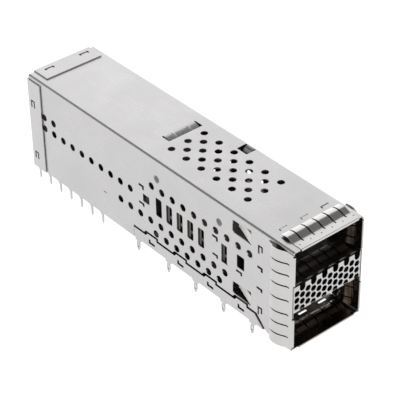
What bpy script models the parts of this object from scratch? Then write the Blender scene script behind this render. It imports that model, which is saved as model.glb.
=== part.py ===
import math

import bmesh
import bpy
from mathutils import Matrix, Vector

# A sheet-metal cage for two stacked pluggable transceivers, with the board connector inside it.
# Sizes are in millimetres. Depth runs back from the cage's front edge, x to the right, and z up
# from the underside, which is the face that sits on the board.
unit = 0.001

# Ports and sheet: these drive the overall width, height and length.
port_width = 18.75
port_height = 8.8
port_pitch = 16.0
cage_length = 90.6
sheet = 0.25
bend_radius = 0.5
slip = 0.1

cage_width = port_width + 2 * sheet
cage_height = port_pitch + port_height + 2 * sheet
inner_half = port_width / 2
wall_mid = inner_half + sheet / 2
lower_floor = sheet
upper_floor = sheet + port_pitch
lower_ceiling = lower_floor + port_height
port_floors = (lower_floor, upper_floor)

# The cover's shell stops short of the gasket folds in front and the rear plate behind.
shell_front = 0.3
shell_rear = cage_length - 0.1

# Connector block, measured back from its nose, which keeps its distance to the rear plate.
connector_length = 48.6
connector_front = cage_length - connector_length
housing_side_gap = 0.475
housing_half = inner_half - housing_side_gap
housing_length = 14.0
nose_length = 5.5
nose_lift = 0.5
nose_height = 6.8
card_height = 4.4
slot_half_height = 1.5
slot_half_width = 8.0
slot_depth = 10.5

# Round vents and windows in both side walls
vent_diameter = 1.8
vent_pitch = 3.56
vent_sides = 8
window_pitch = 3.55
window_length = 2.0
window_corner = 0.4
window_low = lower_ceiling + 1.48
window_high = upper_floor - 0.97

# Vents, retaining slot and side tab in the top
top_vent_diameter = 1.7
top_vent_row_pitch = 2.477
top_vent_spacing = 4.64
top_vent_shift = 0.3
slot_left = 2.9
slot_right = 6.65
slot_front = 5.3
slot_rear = 7.8
slot_tab_drop = 1.3
side_tab_before_slot = 14.9
side_tab_length = 3.2
side_tab_front = connector_front + slot_front - side_tab_before_slot
side_tab_rear = side_tab_front + side_tab_length
side_tab_reach = 2.7
side_tab_hinge = 0.5
side_tab_drop = 1.1
side_tab_slit = 0.5

# Latch windows, one to each side of each port, and the sprung tabs in them
latch_root = 12.9
latch_rear = 18.7
latch_low = 3.85
latch_high = 7.45
latch_edge_gap = 0.35
latch_root_gap = 0.15
latch_tip_gap = 0.7
latch_straight = 1.2
latch_knee = 2.4
latch_knee_reach = 0.25
latch_reach = 1.3
latch_lead = 0.35

# Seam between the cover's walls and the bottom plate's flanges
seam_gap = 0.35
seam_front = 8.5
seam_run = 3.0
seam_height = 2.8
bump_first = 14.1
bump_pitch = 10.0
bump_length = 3.7
bump_rise = 0.72
bump_slope = 0.6
flange_past_nose = 10.4
flange_lift = 0.04

# Pins into the board
pin_tip = -3.2
pin_shoulder_half = 0.95
pin_shoulder = -0.6
pin_neck_half = 0.35
pin_bulge_half = 0.56
pin_bulge = -1.75
pin_taper = -2.8
pin_tip_half = 0.18
eye_half = 0.2
eye_high = -1.15
eye_low = -2.35
flange_pin_first = 12.6
flange_pin_pitch = 9.27
flange_pin_rear_inset = 1.3
wall_pin_half = 0.24
wall_pin_tip = -2.9
wall_pin_point = 0.5
wall_pin_pitch = 4.09
wall_pin_count = 7
wall_pin_inset = 1.8

# Openings in the bottom plate, which match the three lances behind the top gasket
floor_slot_depth = 9.5
floor_slot_length = 0.55
floor_slot_width = 2.3
floor_slot_first = -5.4
floor_slot_pitch = 5.75

# Dividers between the ports and the plate that fronts the space between them
divider_front = 1.0
divider_flange_front = 4.0
divider_rear_gap = 0.5
tooth_low = 2.95
tooth_high = 3.65
tooth_reach = 1.2
tooth_shift = 0.15
vent_plate_drop = 0.7
vent_plate_ear = 3.2
vent_plate_ear_margin = 0.9
hex_column_pitch = 1.54
hex_row_pitch = 1.7
hex_radius = 0.68
hex_flatten = 0.9
hex_first_row = 1.85
notch_half = 0.65
notch_depth = 1.45
notch_corner = 0.45

# Rear cover, folded over the outside of the cover's walls and top
rear_flange_length = 4.9
rear_flange_height = 24.4
rear_top_flange_length = 5.2
rear_top_flange_inset_left = 2.1
rear_top_flange_inset_right = 1.8

# Spring-finger gaskets round the front edge
strip_sheet = 0.1
strip_gap = 0.05
finger_root = 2.1
finger_peak = 4.4
finger_tip = 6.2
finger_rise = 0.92
finger_tip_angle = 45
finger_slit = 0.2
finger_width = 2.87
side_finger_low = -0.3
side_finger_pitch = 2.92
inner_finger_low = 0.75
inner_finger_high = 7.95
strip_left = 1.4
strip_right = 0.6
inner_strip_margin = 1.275
inner_strip_half = inner_half - inner_strip_margin

# Contacts, wafers, tails and the organizer under them
contact_count = 19
contact_pitch = 0.8
contact_width = 0.42
contact_sheet = 0.15
wafer_count = 8
wafer_pitch = 2.15
wafer_thickness = 1.75
wafer_gap = 0.3
wafer_length = 28.7
wafer_low = 1.5
wafer_top_gap = 0.85
wafer_chamfer = 3.0
tail_count = 7
tail_pitch = 4.2
tail_first = 1.9
tail_half = 0.2
tail_tip = -2.6
tail_sheet = 0.3
tail_bar_low = 0.95
organizer_low = 0.15
organizer_high = 0.75
organizer_slot_half = 0.45

steel = ((0.70, 0.69, 0.68), 0.32, 0.9)
spring_steel = ((0.60, 0.59, 0.58), 0.28, 0.95)
black_plastic = ((0.02, 0.02, 0.022), 0.55, 0.0)
contact_gold = ((0.72, 0.52, 0.22), 0.3, 1.0)
tin = ((0.62, 0.62, 0.60), 0.4, 0.9)


def clear_scene():
    for item in list(bpy.data.objects):
        bpy.data.objects.remove(item, do_unlink=True)


def new_collection(name):
    collection = bpy.data.collections.new(name)
    bpy.context.scene.collection.children.link(collection)
    return collection


def world(x, depth, z):
    return Vector((x, depth - cage_length / 2, z)) * unit


def add_object(name, mesh, collection, paint=None):
    item = bpy.data.objects.new(name, mesh)
    collection.objects.link(item)
    if paint:
        colour, roughness, metallic = paint
        material = bpy.data.materials.new(name)
        material.use_nodes = True
        shader = material.node_tree.nodes["Principled BSDF"]
        shader.inputs["Base Color"].default_value = (*colour, 1.0)
        shader.inputs["Roughness"].default_value = roughness
        shader.inputs["Metallic"].default_value = metallic
        mesh.materials.append(material)
    else:
        item.hide_render = True
        item.display_type = "WIRE"
    return item


def set_origin(item, origin):
    item.data.transform(Matrix.Translation(-origin))
    item.location = origin


def centre_origin(item):
    corners = [Vector(corner) for corner in item.bound_box]
    set_origin(item, (corners[0] + corners[6]) / 2)


def circle(centre, radius, sides):
    steps = [2 * math.pi * (step + 0.5) / sides for step in range(sides)]
    return [(centre[0] + radius * math.cos(a), centre[1] + radius * math.sin(a)) for a in steps]


def arc(centre, radius, start, end, steps):
    angles = [math.radians(start + (end - start) * step / steps) for step in range(steps + 1)]
    return [(centre[0] + radius * math.cos(a), centre[1] + radius * math.sin(a)) for a in angles]


def rectangle(low, high, corner=0.0):
    if not corner:
        return [low, (high[0], low[1]), high, (low[0], high[1])]
    centres = rectangle((low[0] + corner, low[1] + corner), (high[0] - corner, high[1] - corner))
    starts = (180, 270, 0, 90)
    return [point for centre, start in zip(centres, starts)
            for point in arc(centre, corner, start, start + 90, 2)]


def prism(name, outlines, plane, low, high, collection, paint=None):
    # A flat outline, with holes where outlines nest, extruded from low to high across its plane:
    # "side" is (depth, z) along x, "front" is (x, z) along depth, "top" is (x, depth) along z.
    curve = bpy.data.curves.new(name, "CURVE")
    curve.dimensions = "2D"
    curve.fill_mode = "BOTH"
    curve.extrude = (high - low) / 2
    for outline in outlines:
        spline = curve.splines.new("POLY")
        spline.points.add(len(outline) - 1)
        for point, place in zip(spline.points, outline):
            point.co = (*place, 0, 1)
        spline.use_cyclic_u = True
    carrier = bpy.data.objects.new(name, curve)
    collection.objects.link(carrier)
    evaluated = carrier.evaluated_get(bpy.context.evaluated_depsgraph_get())
    mesh = bpy.data.meshes.new_from_object(evaluated)
    bpy.data.objects.remove(carrier)
    bpy.data.curves.remove(curve)
    middle = (low + high) / 2
    turns = {
        "side": Matrix(((0, 0, 1, middle), (1, 0, 0, 0), (0, 1, 0, 0), (0, 0, 0, 1))),
        "front": Matrix(((1, 0, 0, 0), (0, 0, -1, middle), (0, 1, 0, 0), (0, 0, 0, 1))),
        "top": Matrix.Translation((0, 0, middle)),
    }
    mesh.transform(turns[plane])
    mesh.transform(Matrix.Scale(unit, 4) @ Matrix.Translation((0, -cage_length / 2, 0)))
    merge(mesh)
    mesh.name = name
    item = add_object(name, mesh, collection, paint)
    centre_origin(item)
    return item


def merge(mesh):
    # Welds the caps to the walls and turns the caps' slivers into fuller triangles.
    shape = bmesh.new()
    shape.from_mesh(mesh)
    bmesh.ops.remove_doubles(shape, verts=shape.verts, dist=1e-7)
    bmesh.ops.beautify_fill(shape, faces=shape.faces, edges=shape.edges)
    bmesh.ops.recalc_face_normals(shape, faces=shape.faces)
    shape.to_mesh(mesh)
    shape.free()


def sheet_part(name, stations, profile, place, thickness, paint, keep=None, pulls=()):
    # An open surface of stations along the part by profile points, thickened about its middle.
    # keep(station, segment) leaves cells out; pulls fold a flange out of the edges a test picks.
    shape = bmesh.new()
    grid = {}
    for i, station in enumerate(stations[:-1]):
        for j in range(len(profile) - 1):
            if keep and not keep(i, j):
                continue
            corners = []
            for a, b in ((i, j), (i + 1, j), (i + 1, j + 1), (i, j + 1)):
                if (a, b) not in grid:
                    grid[a, b] = shape.verts.new(world(*place(stations[a], profile[b])))
                corners.append(grid[a, b])
            shape.faces.new(corners)
    for test, move in pulls:
        edges = [edge for edge in shape.edges if edge.is_boundary
                 and all(test(*(vert.co / unit)) for vert in edge.verts)]
        made = bmesh.ops.extrude_edge_only(shape, edges=edges)["geom"]
        verts = [item for item in made if isinstance(item, bmesh.types.BMVert)]
        bmesh.ops.translate(shape, verts=verts, vec=Vector(move) * unit)
    bmesh.ops.recalc_face_normals(shape, faces=shape.faces)
    mesh = bpy.data.meshes.new(name)
    shape.to_mesh(mesh)
    shape.free()
    item = add_object(name, mesh, parts, paint)
    centre_origin(item)
    solidify = item.modifiers.new("thickness", "SOLIDIFY")
    solidify.thickness = thickness * unit
    solidify.offset = 0
    solidify.use_even_offset = True
    return item


def boolean(item, other, operation, solver="EXACT"):
    modifier = item.modifiers.new(other.name, "BOOLEAN")
    modifier.object = other
    modifier.operation = operation
    modifier.solver = solver


def cut(item, label, outlines, plane, low, high):
    boolean(item, prism(f"{item.name}_{label}", outlines, plane, low, high, cutters), "DIFFERENCE")


def join(item, label, outlines, plane, low, high, solver="EXACT"):
    other = prism(f"{item.name}_{label}", outlines, plane, low, high, cutters)
    boolean(item, other, "UNION", solver)


def row_from_rear(rear, front_limit, pitch):
    count = max(1, int((rear - front_limit) / pitch) + 1)
    return [rear - pitch * step for step in range(count)]


def window_depths():
    return row_from_rear(connector_front + 1.1, 27.5, window_pitch)


def side_vents():
    rows = (
        (lower_ceiling + 3.91, cage_length - 5.42, connector_front + 10),
        (upper_floor - 0.32, cage_length - 5.42, cage_length - 10),
        (lower_ceiling - 0.98, connector_front + 14.82, 20),
        (lower_floor + 4.91, connector_front + 2.36, 22),
        (upper_floor + 1.31, connector_front + 3.46, 12),
    )
    return [circle((depth, z), vent_diameter / 2, vent_sides)
            for z, rear, front in rows for depth in row_from_rear(rear, front, vent_pitch)]


def side_windows():
    half = window_length / 2
    windows = [rectangle((depth - half, window_low), (depth + half, window_high), window_corner)
               for depth in window_depths()]
    windows.append(rectangle((20.5, window_low), (22.3, window_high), window_corner / 2))
    windows.append(rectangle((15.05, lower_ceiling + 2.95), (17.35, window_high), window_corner / 2))
    small = (connector_front + 4.4, lower_ceiling + 2.85), (connector_front + 6.6, upper_floor - 2.35)
    windows.append(rectangle(*small))
    return windows


def latch_windows():
    return [rectangle((latch_root, floor + latch_low), (latch_rear, floor + latch_high), 0.3)
            for floor in port_floors]


def seam_edge(side):
    # The seam's edge from front to rear: side +1 is the cover's edge, -1 the flange's.
    gap = side * seam_gap / 2
    foot = flange_lift if side < 0 else 0
    level = seam_height + sheet + gap
    slant = seam_run / (seam_height + sheet)
    start = seam_front - gap * math.hypot(1, slant)
    end = connector_front + flange_past_nose + gap
    points = [(start, foot), (start + level * slant, level)]
    for step in range(int((end - bump_first - bump_length) / bump_pitch) + 1):
        front = bump_first + step * bump_pitch
        rear = front + bump_length
        points += [(front - gap, level), (front - gap, level + bump_rise),
                   (rear + gap, level + bump_rise), (rear + gap + bump_slope, level)]
    return points + [(end, level), (end, foot)]


def wall_pins():
    # Slim pins under the rear of each wall, from front to rear.
    rear = cage_length - wall_pin_inset
    points = []
    for step in reversed(range(wall_pin_count)):
        depth = rear - step * wall_pin_pitch
        points += [(depth - wall_pin_half, 0), (depth - wall_pin_half, wall_pin_tip + wall_pin_point),
                   (depth, wall_pin_tip), (depth + wall_pin_half, wall_pin_tip + wall_pin_point),
                   (depth + wall_pin_half, 0)]
    return points


def cage_cover():
    top = cage_height - sheet / 2
    radius = bend_radius - sheet / 2
    left = [(-wall_mid, wall_pin_tip - 1)] + arc((radius - wall_mid, top - radius), radius, 180, 90, 3)
    profile = left + [(-x, z) for x, z in reversed(left)]
    cover = sheet_part("cage_cover", [shell_front, shell_rear], profile,
                       lambda depth, point: (point[0], depth, point[1]), sheet, steel)
    beyond = cage_width
    below = wall_pin_tip - 3
    trim = [(-3, 0)] + seam_edge(1) + wall_pins()
    trim += [(cage_length + 3, 0), (cage_length + 3, below), (-3, below)]
    cut(cover, "trim", [trim], "side", -beyond, beyond)
    cut(cover, "side_openings", side_vents() + side_windows() + latch_windows(), "side", -beyond, beyond)
    cut(cover, "top_openings", top_openings(), "top", cage_height - 1, cage_height + 1)
    hinge = connector_front + slot_rear
    join(cover, "slot_tab", [rectangle((hinge - 0.2, cage_height - sheet - slot_tab_drop),
                                       (hinge + 0.05, cage_height - 0.08))],
         "side", -slot_left + side_tab_slit / 2, slot_right - side_tab_slit / 2)
    outer = inner_half - side_tab_hinge + sheet
    under = cage_height - sheet
    tilted = [(outer, under + 0.2), (outer, under + 0.04), (outer - 0.15, under - 0.02),
              (outer - 1.6, under - side_tab_drop), (outer - 1.6, under - side_tab_drop + sheet)]
    join(cover, "side_tab", [tilted], "front",
         side_tab_front + side_tab_slit, side_tab_rear - side_tab_slit)
    return cover


def top_openings():
    rows = row_from_rear(connector_front + 2.7, 19, top_vent_row_pitch)
    vents = []
    for number, depth in enumerate(rows):
        steps = (-1, 0, 1) if number % 2 == 0 else (-0.5, 0.5)
        vents += [circle((top_vent_shift + step * top_vent_spacing, depth), top_vent_diameter / 2, vent_sides)
                  for step in steps]
    slot = rectangle((-slot_left, connector_front + slot_front), (slot_right, connector_front + slot_rear))
    hinge = inner_half - side_tab_hinge + sheet - 0.05
    side_tab = rectangle((hinge - side_tab_reach, side_tab_front), (hinge, side_tab_rear))
    return vents + [slot, side_tab]


def flange_pins():
    end = connector_front + flange_past_nose - flange_pin_rear_inset
    count = int((end - 2 * pin_shoulder_half - 1 - flange_pin_first) / flange_pin_pitch) + 1
    return [flange_pin_first + flange_pin_pitch * step for step in range(count)] + [end]


def pin_outline(depth):
    # One side of a press-fit pin from its shoulder to its tip, then back up the other side.
    half = [(pin_shoulder_half, flange_lift), (pin_shoulder_half, pin_shoulder), (pin_neck_half, pin_shoulder - 0.1),
            (pin_bulge_half, pin_bulge), (pin_neck_half, pin_taper), (pin_tip_half, pin_tip)]
    return [(depth + x, z) for x, z in half] + [(depth - x, z) for x, z in reversed(half)]


def bottom_plate():
    rear = connector_front + flange_past_nose - seam_gap / 2
    slots = []
    for step in range(3):
        x = floor_slot_first + step * floor_slot_pitch
        slots.append(rectangle((x - floor_slot_width / 2, floor_slot_depth),
                               (x + floor_slot_width / 2, floor_slot_depth + floor_slot_length)))
    narrow = inner_half - slip
    wide = wall_mid
    step = seam_front + 0.6
    floor_right = [(narrow, shell_front), (narrow, step), (wide, step), (wide, rear - 0.4)]
    floor_outline = floor_right + [(-x, depth) for x, depth in reversed(floor_right)]
    plate = prism("bottom_plate", [floor_outline] + slots, "top", 0, sheet, parts, steel)
    flange = seam_edge(-1)
    for depth in reversed(flange_pins()):
        flange += pin_outline(depth)
    eyes = [[(depth, eye_high), (depth + eye_half, eye_high - 0.3), (depth + eye_half, eye_low + 0.3),
             (depth, eye_low), (depth - eye_half, eye_low + 0.3), (depth - eye_half, eye_high - 0.3)]
            for depth in flange_pins()]
    for name, low in (("left", -cage_width / 2), ("right", inner_half)):
        join(plate, f"{name}_flange", [flange] + eyes, "side", low, low + sheet)
    return plate


def rear_cover():
    half = cage_width / 2 + slip + sheet / 2
    top = cage_height + slip + sheet / 2
    back = cage_length + slip + sheet / 2
    stations = [-half, -half + rear_top_flange_inset_left, half - rear_top_flange_inset_right, half]
    profile = [(back, slip), (back, rear_flange_height), (back, top), (back - rear_top_flange_length, top)]
    forward = (0, -rear_flange_length, 0)
    reach = half - 0.01
    pulls = [(lambda x, y, z, sign=sign: sign * x > reach, forward) for sign in (-1, 1)]
    return sheet_part("rear_cover", stations, profile, lambda x, point: (x, *point), sheet, steel,
                      keep=lambda column, row: row == 0 or column == 1, pulls=pulls)


def divider_windows():
    # Windows just behind the cover's, with a tooth on the front side of each.
    windows = []
    half = window_length / 2
    for depth in window_depths() + [21.4]:
        front = depth - half - tooth_shift
        rear = depth + half - tooth_shift
        windows.append([(front, window_low), (rear, window_low), (rear, window_high), (front, window_high),
                        (front, lower_ceiling + tooth_high), (front + tooth_reach, lower_ceiling + tooth_high),
                        (front + tooth_reach, lower_ceiling + tooth_low), (front, lower_ceiling + tooth_low)])
    windows.append(rectangle((15.05, lower_ceiling + 2.95), (17.35, window_high)))
    return windows


def dividers():
    half = inner_half - slip - sheet / 2
    rear = connector_front - divider_rear_gap
    low = lower_ceiling + sheet / 2
    high = upper_floor - sheet - slip
    profile = [(-half, high), (-half, low), (half, low), (half, high)]
    lower = sheet_part("lower_divider", [divider_front, divider_flange_front, rear], profile,
                       lambda depth, point: (point[0], depth, point[1]), sheet, steel,
                       keep=lambda station, segment: station == 1 or segment == 1)
    cut(lower, "windows", divider_windows(), "side", -cage_width, cage_width)
    edge = half + sheet / 2
    outline = rectangle((-edge, divider_front), (edge, rear))
    upper = prism("upper_divider", [outline], "top", upper_floor - sheet, upper_floor, parts, steel)
    return lower, upper


def hexagon(x, z):
    return [(x + hex_radius * math.cos(math.radians(60 * step)),
             z + hex_flatten * hex_radius * math.sin(math.radians(60 * step))) for step in range(6)]


def front_vent_plate():
    half = inner_half - slip - 0.08
    low = lower_ceiling + vent_plate_drop
    high = upper_floor
    columns = int((2 * half - 1.2) / hex_column_pitch) + 1
    first = -hex_column_pitch * (columns - 1) / 2 - 0.08
    notch_low = high - notch_depth
    rows = int((notch_low + 0.35 - hex_radius - low) / hex_row_pitch)
    top_edge = []
    bottom_edge = []
    holes = []
    for column in range(columns):
        x = first + column * hex_column_pitch
        shift = hex_row_pitch / 2 if column % 2 else 0
        holes += [hexagon(x, high - hex_first_row - shift - row * hex_row_pitch)
                  for row in range(rows - column % 2)]
        if column % 2:
            top_edge += [(x - notch_half, high), (x - notch_half, notch_low + notch_corner),
                         (x - notch_half + notch_corner, notch_low),
                         (x + notch_half - notch_corner, notch_low),
                         (x + notch_half, notch_low + notch_corner), (x + notch_half, high)]
            bottom_edge += [(x - 0.6, low), (x - 0.33, low + 0.6), (x + 0.33, low + 0.6), (x + 0.6, low)]
    outline = [(-half, low)] + bottom_edge + [(half, low), (half, high)] + top_edge[::-1] + [(-half, high)]
    plate = prism("front_vent_plate", [outline] + holes, "front",
                  shell_front, shell_front + sheet, parts, steel)
    ear_low = low + vent_plate_ear_margin
    ear_high = high - sheet - slip - vent_plate_ear_margin
    ear = rectangle((shell_front + 0.1, ear_low), (shell_front + vent_plate_ear, ear_high))
    outer = inner_half - slip
    # The exact solver drops this pierced plate, so its ears are joined by the manifold solver.
    join(plate, "left_ear", [ear], "side", -outer, sheet - outer, "MANIFOLD")
    join(plate, "right_ear", [ear], "side", outer - sheet, outer, "MANIFOLD")
    return plate


def finger_curve(steps=4):
    # Depth and rise of a spring finger from its root, over its crest, to its tip.
    points = []
    for step in range(steps + 1):
        angle = math.radians(-90 + (90 + finger_tip_angle) * step / steps)
        share = math.sin(angle)
        reach = finger_peak - finger_root if share < 0 else (finger_tip - finger_peak) / math.sin(
            math.radians(finger_tip_angle))
        points.append((finger_peak + share * reach, finger_rise * math.cos(angle)))
    return points


def strip_profile():
    # Depth and offset from the sheet's outer face: outer fingers, band, fold, band, inner fingers.
    face = strip_gap + strip_sheet / 2
    fold = shell_front - strip_gap * 3 - strip_sheet
    fingers = finger_curve()
    outer = [(depth, face + rise) for depth, rise in reversed(fingers)]
    inner = [(depth, -sheet - face - rise) for depth, rise in fingers]
    corner = [(fold + 0.1, face), (fold, 0), (fold, -sheet), (fold + 0.1, -sheet - face)]
    return outer + corner + inner, len(fingers) - 1


def strip_columns(edges, inner_spans):
    # Stations along a strip, and for each cell whether it is a finger and whether it folds inside.
    cuts = {edges[0], edges[-1]}
    for edge in edges[1:-1]:
        cuts |= {edge - finger_slit / 2, edge + finger_slit / 2}
    for low, high in inner_spans:
        cuts |= {low, high}
    stations = sorted(cuts)
    cells = []
    for low, high in zip(stations, stations[1:]):
        middle = (low + high) / 2
        is_finger = all(abs(middle - edge) > finger_slit / 2 for edge in edges[1:-1])
        folds = any(inner[0] < middle < inner[1] for inner in inner_spans)
        cells.append((is_finger, folds))
    return stations, cells


def gasket(name, edges, inner_spans, place):
    profile, finger_rows = strip_profile()
    stations, cells = strip_columns(edges, inner_spans)
    last_band = len(profile) - 1 - finger_rows

    def keep(column, row):
        is_finger, folds = cells[column]
        on_finger = row < finger_rows or row >= last_band
        inside = row > finger_rows
        return (is_finger or not on_finger) and (folds or not inside)

    return sheet_part(name, stations, profile, place, strip_sheet, spring_steel, keep=keep)


def edge_gaskets():
    half = cage_width / 2
    left = -half + strip_left
    right = half - strip_right
    count = max(1, round((right - left) / finger_width))
    across = [left + (right - left) * step / count for step in range(count + 1)]
    inner = [(-inner_strip_half + 0.1, inner_strip_half)]
    gasket("emi_gasket_top", across, inner, lambda x, p: (x, p[0], cage_height + p[1]))
    gasket("emi_gasket_bottom", across, inner, lambda x, p: (x, p[0], -p[1]))
    upright = []
    spans = []
    for floor in port_floors:
        upright += [floor + side_finger_low + side_finger_pitch * step for step in range(4)]
        spans.append((floor + inner_finger_low, floor + inner_finger_high))
    upright.insert(4, (upright[3] + upright[4]) / 2)
    gasket("emi_gasket_left", upright, spans, lambda z, p: (-half - p[1], p[0], z))
    gasket("emi_gasket_right", upright, spans, lambda z, p: (half + p[1], p[0], z))
    return inner


def divider_gasket(name, level, side, inner):
    # One-sided strip: a band lying on a divider, with fingers bowed into the port.
    face = strip_gap + strip_sheet / 2
    curve = [(depth, face + rise) for depth, rise in finger_curve()]
    profile = [(divider_front + 0.1, face)] + curve
    low, high = inner
    count = max(1, round((high - low) / finger_width))
    edges = [low + (high - low) * step / count for step in range(count + 1)]
    stations, cells = strip_columns(edges, [])
    return sheet_part(name, stations, profile, lambda x, p: (x, p[0], level + side * p[1]),
                      strip_sheet, spring_steel, keep=lambda column, row: row == 0 or cells[column][0])


def latch(name, floor, side):
    # A tab cut from the wall, bowed into the port, with its origin on the hinge line at its root.
    hinge = latch_root + latch_root_gap
    length = latch_rear - latch_tip_gap - hinge
    low = floor + latch_low + latch_edge_gap
    high = floor + latch_high - latch_edge_gap
    path = [(0, 0), (latch_straight, 0), (latch_knee, latch_knee_reach),
            (length - latch_lead, latch_reach), (length, latch_reach - 0.15)]
    tab = sheet_part(name, [low, high], path,
                     lambda z, p: (side * (wall_mid - p[1]), hinge + p[0], z), sheet, steel)
    set_origin(tab, world(side * wall_mid, hinge, (low + high) / 2) - tab.location)
    tab.location = world(side * wall_mid, hinge, (low + high) / 2)
    return tab


def card_centres():
    return [floor + card_height for floor in port_floors]


def connector_housing():
    rear = connector_front + housing_length
    recess = connector_front + nose_length
    low = lower_floor + nose_lift
    high = upper_floor + nose_lift + nose_height
    outline = [(connector_front, low), (rear, low), (rear, high), (connector_front, high),
               (connector_front, upper_floor + nose_lift), (recess, upper_floor + nose_lift),
               (recess, low + nose_height), (connector_front, low + nose_height)]
    housing = prism("connector_housing", [outline], "side", -housing_half, housing_half, parts, black_plastic)
    slots = [rectangle((-slot_half_width, z - slot_half_height), (slot_half_width, z + slot_half_height))
             for z in card_centres()]
    cut(housing, "card_slots", slots, "front", connector_front - 1, connector_front + slot_depth)
    return housing


def contact_row(name, centre, side):
    # A comb of cantilever contacts: a bar at the slot's back and beams that rise to the card.
    bar = slot_half_height - 0.25
    path = [(connector_front + slot_depth - 0.4, bar), (connector_front + slot_depth - 1.8, bar),
            (connector_front + 2.4, 0.42), (connector_front + 1.2, 0.75)]
    first = -(contact_count - 1) / 2 * contact_pitch
    stations = []
    for number in range(contact_count):
        x = first + number * contact_pitch
        stations += [x - contact_width / 2, x + contact_width / 2]
    return sheet_part(name, stations, path, lambda x, p: (x, p[0], centre + side * p[1]), contact_sheet,
                      contact_gold, keep=lambda column, row: row == 0 or column % 2 == 0)


def wafers():
    front = connector_front + housing_length + wafer_gap
    rear = front + wafer_length
    top = cage_height - sheet - wafer_top_gap
    outline = [(front, wafer_low), (rear, wafer_low), (rear, top - wafer_chamfer),
               (rear - wafer_chamfer, top), (front, top)]
    tails = [front + tail_first + tail_pitch * step for step in range(tail_count)]
    bar_high = wafer_low - slip
    comb = [(tails[-1] + 0.6, bar_high), (tails[0] - 0.6, bar_high), (tails[0] - 0.6, tail_bar_low)]
    for depth in tails:
        comb += [(depth - tail_half, tail_bar_low), (depth - tail_half, tail_tip + 0.4), (depth, tail_tip),
                 (depth + tail_half, tail_tip + 0.4), (depth + tail_half, tail_bar_low)]
    comb.append((tails[-1] + 0.6, tail_bar_low))
    for number in range(wafer_count):
        x = (number - (wafer_count - 1) / 2) * wafer_pitch
        half = wafer_thickness / 2
        prism(f"wafer_{number + 1}", [outline], "side", x - half, x + half, parts, black_plastic)
        half = tail_sheet / 2
        prism(f"tail_comb_{number + 1}", [comb], "side", x - half, x + half, parts, tin)
    reach = housing_half - 0.5
    slots = [rectangle((-reach, depth - organizer_slot_half), (reach, depth + organizer_slot_half))
             for depth in tails]
    plate = rectangle((-housing_half, front), (housing_half, rear + 1))
    prism("tail_organizer", [plate] + slots, "top", organizer_low, organizer_high, parts, black_plastic)


clear_scene()
parts = new_collection("stacked_transceiver_cage")
cutters = new_collection("cutters")
cage_cover()
bottom_plate()
rear_cover()
dividers()
front_vent_plate()
(inner_strip,) = edge_gaskets()
divider_gasket("upper_port_floor_gasket", upper_floor, 1, inner_strip)
divider_gasket("lower_port_ceiling_gasket", lower_ceiling, -1, inner_strip)
for label, port_floor in (("lower", lower_floor), ("upper", upper_floor)):
    latch(f"latch_left_{label}", port_floor, -1)
    latch(f"latch_right_{label}", port_floor, 1)
connector_housing()
for label, slot_centre in zip(("lower", "upper"), card_centres()):
    contact_row(f"contacts_{label}_top", slot_centre, 1)
    contact_row(f"contacts_{label}_bottom", slot_centre, -1)
wafers()
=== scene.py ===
import math

import bmesh
import bpy
from mathutils import Matrix, Vector


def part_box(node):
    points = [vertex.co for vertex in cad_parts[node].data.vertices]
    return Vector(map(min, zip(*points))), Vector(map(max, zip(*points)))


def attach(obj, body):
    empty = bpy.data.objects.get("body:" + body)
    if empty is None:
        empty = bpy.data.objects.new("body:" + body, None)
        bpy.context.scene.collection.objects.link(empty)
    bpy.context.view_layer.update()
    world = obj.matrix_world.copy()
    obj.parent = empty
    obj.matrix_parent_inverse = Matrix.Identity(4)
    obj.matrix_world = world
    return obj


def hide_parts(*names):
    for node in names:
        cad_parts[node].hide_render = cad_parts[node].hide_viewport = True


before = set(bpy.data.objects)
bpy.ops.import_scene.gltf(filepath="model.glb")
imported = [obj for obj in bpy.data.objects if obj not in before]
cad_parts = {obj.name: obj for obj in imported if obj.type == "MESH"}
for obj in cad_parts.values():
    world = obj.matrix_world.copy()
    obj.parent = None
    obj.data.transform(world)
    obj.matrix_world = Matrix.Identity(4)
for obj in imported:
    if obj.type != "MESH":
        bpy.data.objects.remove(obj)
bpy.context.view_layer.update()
print("frame loaded")

# Everything below is in millimetres: x to the right, depth back from the front edge, z up.
mm = 0.001


def boxOf(node):
    return [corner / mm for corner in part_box(node)]


frontY = boxOf("emi_gasket_left")[0].y
halfWidth = boxOf("cage_cover")[1].x
topZ = boxOf("cage_cover")[1].z
rearEdge = boxOf("cage_cover")[1].y - frontY
dividerLow, dividerHigh = boxOf("upper_divider")
sheet = round(dividerHigh.z - dividerLow.z, 4)
upperFloor = dividerHigh.z
lowerFloor = sheet
lowerCeiling = boxOf("lower_divider")[0].z
noseDepth = boxOf("connector_housing")[0].y - frontY
pinTip = boxOf("bottom_plate")[0].z
portFloors = (lowerFloor, upperFloor)
innerHalf = halfWidth - sheet
shellFront = 0.3
slip = 0.1


# Shader helpers: one class for numbers and one for materials.
class Num:
    def __init__(self, tree, socket):
        self.tree = tree
        self.socket = socket

    def math(self, operation, *others):
        node = self.tree.nodes.new("ShaderNodeMath")
        node.operation = operation
        for slot, value in zip(node.inputs, others):
            plug(self.tree, slot, value)
        return Num(self.tree, node.outputs[0])

    def __add__(self, other):
        return self.math("ADD", self, other)

    def __radd__(self, other):
        return self.math("ADD", other, self)

    def __sub__(self, other):
        return self.math("SUBTRACT", self, other)

    def __mul__(self, other):
        return self.math("MULTIPLY", self, other)

    def __pow__(self, other):
        return self.math("POWER", self, other)

    def __abs__(self):
        return self.math("ABSOLUTE", self)


def plug(tree, slot, value):
    if isinstance(value, Num):
        value = value.socket
    if isinstance(value, bpy.types.NodeSocket):
        tree.links.new(value, slot)
    else:
        slot.default_value = value


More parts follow.
